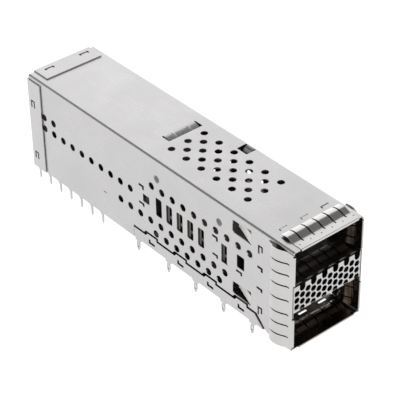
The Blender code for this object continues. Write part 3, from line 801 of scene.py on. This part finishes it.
def makeRearCover():
    low, high = boxOf("rear_cover")
    half = high.x - sheet / 2
    back = high.y - frontY - sheet / 2
    top = high.z - sheet / 2
    bend = rear["bend"]
    across = [(-half, back - rear["flange"])] + arc((bend - half, back - bend), bend, 180, 90, 6)
    panel = sheetSolid("rearPanel", [low.z, rear["height"]], mirrored(across), lambda z, p: (*p, z))
    left, right = rear["insetLeft"] - half, half - rear["insetRight"]
    over = [(back, rear["height"] - 0.4)] + arc((back - bend, top - bend), bend, 0, 90, 6)
    over.append((back - rear["topFlange"], top))
    lid = sheetSolid("rearLid", [left, right], over, lambda x, p: (x, *p))
    upper = back - rear["topLanceInset"]
    levels = [upper - level for level in rear["topLanceLevels"]]
    topLances = [archLance(x, x + rear["topLanceWidth"], *levels) for x in rear["topLances"]]
    lid = carve(lid, prism("lidLances", topLances, "top", topZ - 1, topZ + 1))
    near, far = (back - gap for gap in rear["lanceSpan"])
    cuts = [archLance(near, far, top, foot, foot) for foot, top in rear["lances"]]
    panel = carve(panel, prism("panelLances", cuts, "side", -halfWidth - 2, halfWidth + 2))
    return carve(panel, lid, "UNION")


finishPiece(makeRearCover(), "root", "steel", plateMetal, "rear_cover")
print("rear cover made")


# Dividers between the ports
divider = {"front": 1.0, "flangeFront": 4.0, "rear": noseDepth - 0.5, "bend": 0.3, "toothLow": 2.95,
           "toothHigh": 3.65, "toothReach": 1.2, "shift": 0.15, "rearStrip": 0.6, "spurDepth": 21.4,
           "slotDepth": (8.0, 8.5), "slotHalf": 1.1}


def dividerWindows():
    windows = []
    low, high = cover["windowLow"], cover["windowHigh"]
    toothLow, toothHigh = lowerCeiling + divider["toothLow"], lowerCeiling + divider["toothHigh"]
    depths = [cover["windowRear"] - step * cover["windowPitch"] for step in range(cover["windowCount"])]
    for depth in depths + [divider["spurDepth"]]:
        front = depth - cover["windowHalf"] - divider["shift"]
        rearSide = depth + cover["windowHalf"] - divider["shift"] - divider["rearStrip"]
        tip = front + divider["toothReach"]
        windows.append([(front, low), (rearSide, low), (rearSide, high), (front, high), (front, toothHigh),
                        (tip - 0.1, toothHigh), (tip, toothHigh - 0.15), (tip, toothLow + 0.15),
                        (tip - 0.1, toothLow), (front, toothLow)])
    return windows + [notchWindow()]


def makeDividers():
    half = innerHalf - slip - sheet / 2
    low = lowerCeiling + sheet / 2
    high = boxOf("lower_divider")[1].z
    bend = divider["bend"]
    left = [(-half, high)] + arc((bend - half, low + bend), bend, 180, 270, 5)
    floorPart = len(left)
    stations = [divider["front"], divider["flangeFront"], divider["rear"]]
    lower = sheetSolid("lowerDivider", stations, mirrored(left), acrossAndUp,
                       keep=lambda station, part: station == 1 or part == floorPart - 1)
    lower = carve(lower, prism("dividerWindows", dividerWindows(), "side", -halfWidth, halfWidth))
    wide = divider["slotHalf"]
    near, far = divider["slotDepth"]
    slots = [rectangle((x - wide, near), (x + wide, far), 0.1) for x in plate["slots"]]
    lower = carve(lower, prism("dividerSlots", slots, "top", lowerCeiling - 1, lowerCeiling + 1))
    # The dividers take the dark finish painted with shade.
    finishPiece(lower, "root", "steel", shadedInsidePlate, "lower_divider")
    edge = half + sheet / 2
    outline = rectangle((-edge, divider["front"]), (edge, divider["rear"]), 0.3)
    upper = prism("upperDivider", [outline] + slots, "top", upperFloor - sheet, upperFloor)
    finishPiece(upper, "root", "steel", shadedInsidePlate, "upper_divider")


makeDividers()
print("dividers made")


# Front vent plate: a comb of hexagons between the ports
vent = {"drop": 0.7, "columnPitch": 1.54, "rowPitch": 1.7, "radius": 0.78, "firstRow": 1.85, "columns": 12,
        "shift": -0.03, "margin": 0.02, "earLength": 3.2, "earMargin": 0.9}


# The open comb cell that an edge cuts: sides up to the widest level, then the flat end beyond it.
def openCell(x, edge, centre):
    wide = vent["radius"]
    flat = wide * math.sqrt(3) / 2
    way = 1 if centre > edge else -1
    reach = abs(centre - edge)
    mouth = wide * (1 - reach / flat / 2) if way > 0 and reach < flat else wide
    return [(x - mouth, edge), (x - wide, centre), (x - wide / 2, centre + way * flat),
            (x + wide / 2, centre + way * flat), (x + wide, centre), (x + mouth, edge)]


def makeVentPlate():
    half = innerHalf - vent["margin"]
    low, high = lowerCeiling + vent["drop"], upperFloor
    pitch = vent["columnPitch"]
    rowPitch = vent["rowPitch"]
    first = vent["shift"] - pitch * (vent["columns"] - 1) / 2
    topEdge = []
    bottomEdge = []
    for column in range(1, vent["columns"], 2):
        x = first + column * pitch
        topEdge += openCell(x, high, high - vent["firstRow"] + rowPitch / 2)
        bottomEdge += openCell(x, low, high - vent["firstRow"] - rowPitch * 2.5)
    outline = [(-half, low)] + bottomEdge + [(half, low), (half, high)] + topEdge[::-1] + [(-half, high)]
    piece = prism("ventPlate", [outline], "front", shellFront, shellFront + sheet)
    middle = first + pitch * (vent["columns"] / 2 - 1)
    depth = shellFront + sheet / 2
    top = high - vent["firstRow"]
    full = punchGrid((6, 3), (2 * pitch, rowPitch), (middle, depth, top - rowPitch), "front",
                     vent["radius"], 2, 6)
    between = punchGrid((6, 2), (2 * pitch, rowPitch), (middle + pitch, depth, top - rowPitch),
                        "front", vent["radius"], 2, 6)
    piece = carve(piece, joined("hexagons", full, between))
    outer = innerHalf - slip
    lowEar, highEar = low + vent["earMargin"], high - sheet - slip - vent["earMargin"]
    ears = [prism("ear", [rectangle((depth, lowEar), (vent["earLength"], highEar))], "side", x, x + sheet)
            for x in (-outer, outer - sheet)]
    return joined("ventPlate", piece, *ears)


finishPiece(makeVentPlate(), "root", "steel", plateMetal, "front_vent_plate")
print("vent plate made")


# Spring-finger gaskets round the front edge and on the dividers
flatFinger = {"slit": 1.95, "root": 2.45, "peak": 4.5, "tip": 6.1, "rise": 0.58, "tipRise": 0.25,
              "flatRoot": True}
archFinger = {"slit": 1.35, "root": 1.95, "peak": 4.8, "tip": 6.25, "rise": 0.95, "tipRise": 0.7,
              "flatRoot": False}
strip = {"sheet": 0.1, "gap": 0.05, "turn": 0.12, "slit": 0.36, "width": 2.87, "left": -7.7, "right": 8.2,
         "firstSlit": -5.4, "slitPitch": 2.966, "slits": 5, "innerLeft": -8.0, "innerRight": 8.1,
         "steps": 18, "dotDepth": 1.5, "dotRadius": 0.15, "sideLow": -0.3, "sidePitch": 2.92,
         "sideEdges": 4, "innerLow": 0.75, "innerHigh": 7.95}


# Flat-rooted fingers rise in an S, steep-rooted ones in an arch; both end short of the surface.
def fingerCurve(shape):
    points = [(shape["slit"], 0.0)]
    half = strip["steps"] // 2
    for step in range(half):
        share = step / half
        lift = (1 - math.cos(math.pi * share)) / 2 if shape["flatRoot"] else math.sin(math.pi / 2 * share)
        points.append((shape["root"] + (shape["peak"] - shape["root"]) * share, shape["rise"] * lift))
    for step in range(half + 1):
        share = step / half
        fall = (shape["rise"] - shape["tipRise"]) * share * share
        points.append((shape["peak"] + (shape["tip"] - shape["peak"]) * share, shape["rise"] - fall))
    return points


def stripStations(edges, spans):
    cuts = {edges[0], edges[-1]}
    for edge in edges[1:-1]:
        cuts |= {edge - strip["slit"] / 2, edge + strip["slit"] / 2}
    for low, high in spans:
        cuts |= {low, high}
    stations = sorted(cuts)
    cells = []
    for low, high in zip(stations, stations[1:]):
        middle = (low + high) / 2
        finger = all(abs(middle - edge) > strip["slit"] / 2 for edge in edges[1:-1])
        cells.append((finger, any(span[0] < middle < span[1] for span in spans)))
    return stations, cells


def makeStrip(name, node, edges, spans, spot, shape, dots=None):
    face = strip["gap"] + strip["sheet"] / 2
    fold = shellFront - strip["gap"] * 3 - strip["sheet"]
    fingers = fingerCurve(shape)
    outer = [(depth, face + rise) for depth, rise in reversed(fingers)]
    inner = [(depth, -sheet - face - rise) for depth, rise in fingers]
    turn = strip["turn"]
    corner = arc((fold + turn, face - turn), turn, 90, 180, 4)
    corner += arc((fold + turn, turn - sheet - face), turn, 180, 270, 4)
    profile = outer + [(fold + turn * 2, face)] + corner + [(fold + turn * 2, -sheet - face)] + inner
    rows = len(fingers) - 1
    stations, cells = stripStations(edges, spans)

    def keep(column, row):
        finger, folds = cells[column]
        onFinger = row < rows or row >= len(profile) - 1 - rows
        return (finger or not onFinger) and (folds or row <= rows)

    piece = sheetSolid(name, stations, profile, spot, strip["sheet"], keep)
    if dots:
        piece = carve(piece, dots)
    return finishPiece(piece, "root", "spring_steel", springMetal, node, smooth=35)


def makeGaskets():
    left, right = strip["left"], strip["right"]
    slits = [strip["firstSlit"] + strip["slitPitch"] * step for step in range(strip["slits"])]
    across = [left] + slits + [right]
    inner = [(left, strip["innerRight"])]
    count = strip["slits"] + 1
    middle = strip["firstSlit"] + strip["slitPitch"] * (strip["slits"] - 1) / 2
    dots = punchGrid((count, 1), (strip["slitPitch"], 1), (middle, strip["dotDepth"], topZ), "top",
                     strip["dotRadius"], 0.6, 12)
    makeStrip("gasketTop", "emi_gasket_top", across, inner,
              lambda x, p: (x, p[0], topZ + p[1]), flatFinger, dots)
    makeStrip("gasketBottom", "emi_gasket_bottom", across, inner, lambda x, p: (x, p[0], -p[1]), flatFinger)
    upright = []
    spans = []
    for floor in portFloors:
        foot = floor + strip["sideLow"]
        upright += [foot + strip["sidePitch"] * step for step in range(strip["sideEdges"])]
        spans.append((floor + strip["innerLow"], floor + strip["innerHigh"]))
    split = strip["sideEdges"]
    upright.insert(split, (upright[split - 1] + upright[split]) / 2)
    makeStrip("gasketLeft", "emi_gasket_left", upright, spans,
              lambda z, p: (-halfWidth - p[1], p[0], z), archFinger)
    makeStrip("gasketRight", "emi_gasket_right", upright, spans,
              lambda z, p: (halfWidth + p[1], p[0], z), archFinger)
    low, high = strip["innerLeft"], strip["innerRight"]
    count = round((high - low) / strip["width"])
    edges = [low + (high - low) * step / count for step in range(count + 1)]
    for name, node, level, side in (("gasketUpperFloor", "upper_port_floor_gasket", upperFloor, 1),
                                    ("gasketLowerCeiling", "lower_port_ceiling_gasket", lowerCeiling, -1)):
        face = strip["gap"] + strip["sheet"] / 2
        profile = [(divider["front"] + 0.1, face)]
        profile += [(depth, face + rise) for depth, rise in fingerCurve(flatFinger)]
        stations, cells = stripStations(edges, [])
        piece = sheetSolid(name, stations, profile, lambda x, p: (x, p[0], level + side * p[1]),
                           strip["sheet"], lambda column, row: row == 0 or cells[column][0])
        # The divider gaskets take the dark finish painted with shade.
        finishPiece(piece, "root", "spring_steel", shadedInsideSpring, node, smooth=35)


makeGaskets()
print("gaskets made")


# Latch tabs, each on its own body
latch = {"rootGap": 0.03, "tipGap": 0.7, "edgeGap": 0.12, "reach": 1.3, "tipBack": 0.12, "taper": 1.15,
         "topTaper": 0.35, "wedge": 0.8, "wedgeLength": 3.2, "steps": 16}


def makeLatches():
    front, rearSide, low, high = cover["latchWindow"]
    root = front + latch["rootGap"]
    length = rearSide - latch["tipGap"] - root
    path = []
    for step in range(latch["steps"] + 1):
        share = step / latch["steps"]
        path.append((length * share, latch["reach"] * share))
    path[-1] = (length, latch["reach"] - latch["tipBack"])
    for label, floor in zip(("lower", "upper"), portFloors):
        bottom = floor + low + latch["edgeGap"]
        top = floor + high - latch["edgeGap"]
        for name, side in (("left", -1), ("right", 1)):
            node = f"latch_{name}_{label}"

            def spot(edge, p):
                taper = (latch["taper"] * (1 - edge) - latch["topTaper"] * edge) * p[0] / length
                taper -= edge * latch["wedge"] * max(0.0, 1 - p[0] / latch["wedgeLength"])
                z = bottom + (top - bottom) * edge + taper
                return side * (halfWidth - sheet / 2 - p[1]), root + p[0], z

            piece = sheetSolid(f"latchTab{name.title()}{label.title()}", [0, 1], path, spot)
            finishPiece(piece, node, "steel", latchMetal, node, smooth=30)


makeLatches()
print("latches made")


# Connector block: eased copies of the moulded nodes, and finishes on the metal ones
def easedCopy(node, name, width, material, slot):
    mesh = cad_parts[node].data.copy()
    shape = bmesh.new()
    shape.from_mesh(mesh)
    bmesh.ops.remove_doubles(shape, verts=shape.verts, dist=1e-7)
    bmesh.ops.dissolve_limit(shape, angle_limit=math.radians(1), verts=shape.verts, edges=shape.edges)
    shape.to_mesh(mesh)
    shape.free()
    piece = newObject(name, mesh)
    bevel = piece.modifiers.new("edges", "BEVEL")
    bevel.width = width * mm
    bevel.segments = 2
    bevel.limit_method = "ANGLE"
    finishPiece(baked(piece), "root", slot, material, node, smooth=35)


easedCopy("connector_housing", "connectorHousing", 0.15, blackPlastic, "black_plastic")
easedCopy("tail_organizer", "tailOrganizer", 0.06, blackPlastic, "black_plastic")
for number in range(1, 9):
    easedCopy(f"wafer_{number}", f"wafer{number}", 0.12, blackPlastic, "black_plastic")
for node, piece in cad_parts.items():
    if node.startswith("contacts_") or node.startswith("tail_comb"):
        piece.data.materials.clear()
        piece.data.materials.append(contactGold if node.startswith("contacts_") else tailTin)
print("connector made")


# Floor, light and camera
studio = {"floorSize": 3.0, "floorColour": (0.3, 0.3, 0.3), "floorGlow": 0.95,
          "horizon": 2.0, "softbox": 1.62, "ceiling": 0.22, "softboxTop": 0.63, "ceilingStart": 0.71,
          "lights": (("above", (-0.1, 0.05, 0.6), 0.5, 0.9), ("left", (-0.6, -0.3, 0.25), 0.5, 0.5))}
view = {"target": (0.0, 45.0, 12.5), "distance": 368.69, "azimuth": -39.137, "elevation": 35.439,
        "roll": -1.301, "lens": 149.76, "shift": (0.0321, -0.0276)}


def makeFloor():
    shape = bmesh.new()
    bmesh.ops.create_grid(shape, x_segments=8, y_segments=8, size=studio["floorSize"] / 2)
    floor = shapeObject("paleFloor", shape)
    floor.data.transform(Matrix.Translation((0, 0, pinTip * mm)))
    finish = Finish("paleFloor", 0.0, 0.8, studio["floorColour"])
    finish.set(**{"Emission Color": (1.0, 1.0, 1.0, 1.0), "Emission Strength": studio["floorGlow"]})
    floor.data.materials.append(finish.material)


def ranged(value, fromLow, fromHigh, toLow, toHigh):
    node = value.tree.nodes.new("ShaderNodeMapRange")
    for slot, number in zip(node.inputs, (value, fromLow, fromHigh, toLow, toHigh)):
        plug(value.tree, slot, number)
    return Num(value.tree, node.outputs[0])


def makeLights():
    world = bpy.data.worlds.new("softStudio")
    world.use_nodes = True
    tree = world.node_tree
    split = tree.nodes.new("ShaderNodeSeparateXYZ")
    tree.links.new(tree.nodes.new("ShaderNodeTexCoord").outputs["Generated"], split.inputs[0])
    height = Num(tree, split.outputs["Z"])
    low = ranged(height, 0.0, 0.55, studio["horizon"], studio["softbox"])
    dimmed = studio["ceiling"] / studio["softbox"]
    high = ranged(height, studio["softboxTop"], studio["ceilingStart"], 1.0, dimmed)
    background = tree.nodes["Background"]
    background.inputs["Color"].default_value = (1.0, 1.0, 1.0, 1.0)
    tree.links.new((low * high).socket, background.inputs["Strength"])
    bpy.context.scene.world = world
    for name, spot, size, power in studio["lights"]:
        light = bpy.data.lights.new(name, "AREA")
        light.energy = power
        light.size = size
        lamp = newObject(name, light)
        lamp.location = spot
        lamp.rotation_euler = (-Vector(spot)).to_track_quat("-Z", "Y").to_euler()


def makeCamera():
    azimuth, elevation, roll = (math.radians(view[key]) for key in ("azimuth", "elevation", "roll"))
    level = math.cos(elevation)
    back = Vector((math.sin(azimuth) * level, -math.cos(azimuth) * level, math.sin(elevation)))
    flatRight = Vector((0, 0, 1)).cross(back).normalized()
    flatUp = back.cross(flatRight)
    right = math.cos(roll) * flatRight + math.sin(roll) * flatUp
    up = back.cross(right)
    data = bpy.data.cameras.new("camera")
    data.lens = view["lens"]
    data.shift_x, data.shift_y = view["shift"]
    camera = newObject("camera", data)
    turn = Matrix((right, up, back)).transposed().to_4x4()
    camera.matrix_world = Matrix.Translation(place(*view["target"]) + back * view["distance"] * mm) @ turn
    bpy.context.scene.camera = camera


makeFloor()
makeLights()
makeCamera()
bpy.context.scene.view_settings.view_transform = "Standard"
print("studio made")
